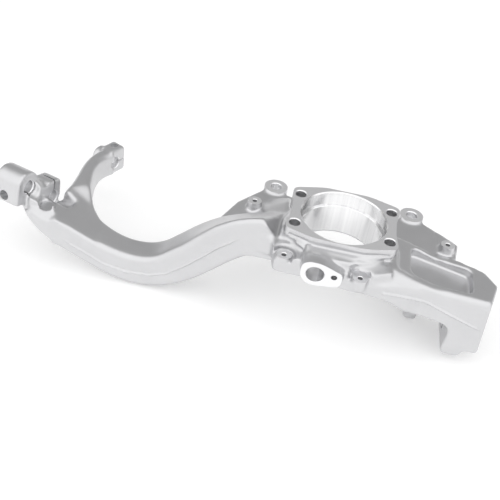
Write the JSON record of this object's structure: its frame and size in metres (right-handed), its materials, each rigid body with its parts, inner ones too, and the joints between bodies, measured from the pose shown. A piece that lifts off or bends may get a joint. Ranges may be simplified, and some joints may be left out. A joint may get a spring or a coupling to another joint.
{
  "type": "steering knuckle",
  "caption": "Forged aluminium goose-neck steering knuckle with a bearing flange, caliper ears, a forked neck with split clamps and a lower leg with ball joint seats.",
  "frame": {"origin": "centre of the hub bore on the machined flange face", "axes": "+Z outboard along the bore, -X up the neck towards the upper clamps, +Y towards the caliper ears"},
  "size_m": [0.5686, 0.2228, 0.133],
  "materials": {
    "forged_aluminium": "satin"
  },
  "bodies": {
    "root": {"steering_knuckle": "forged_aluminium"}
  },
  "joints": []
}
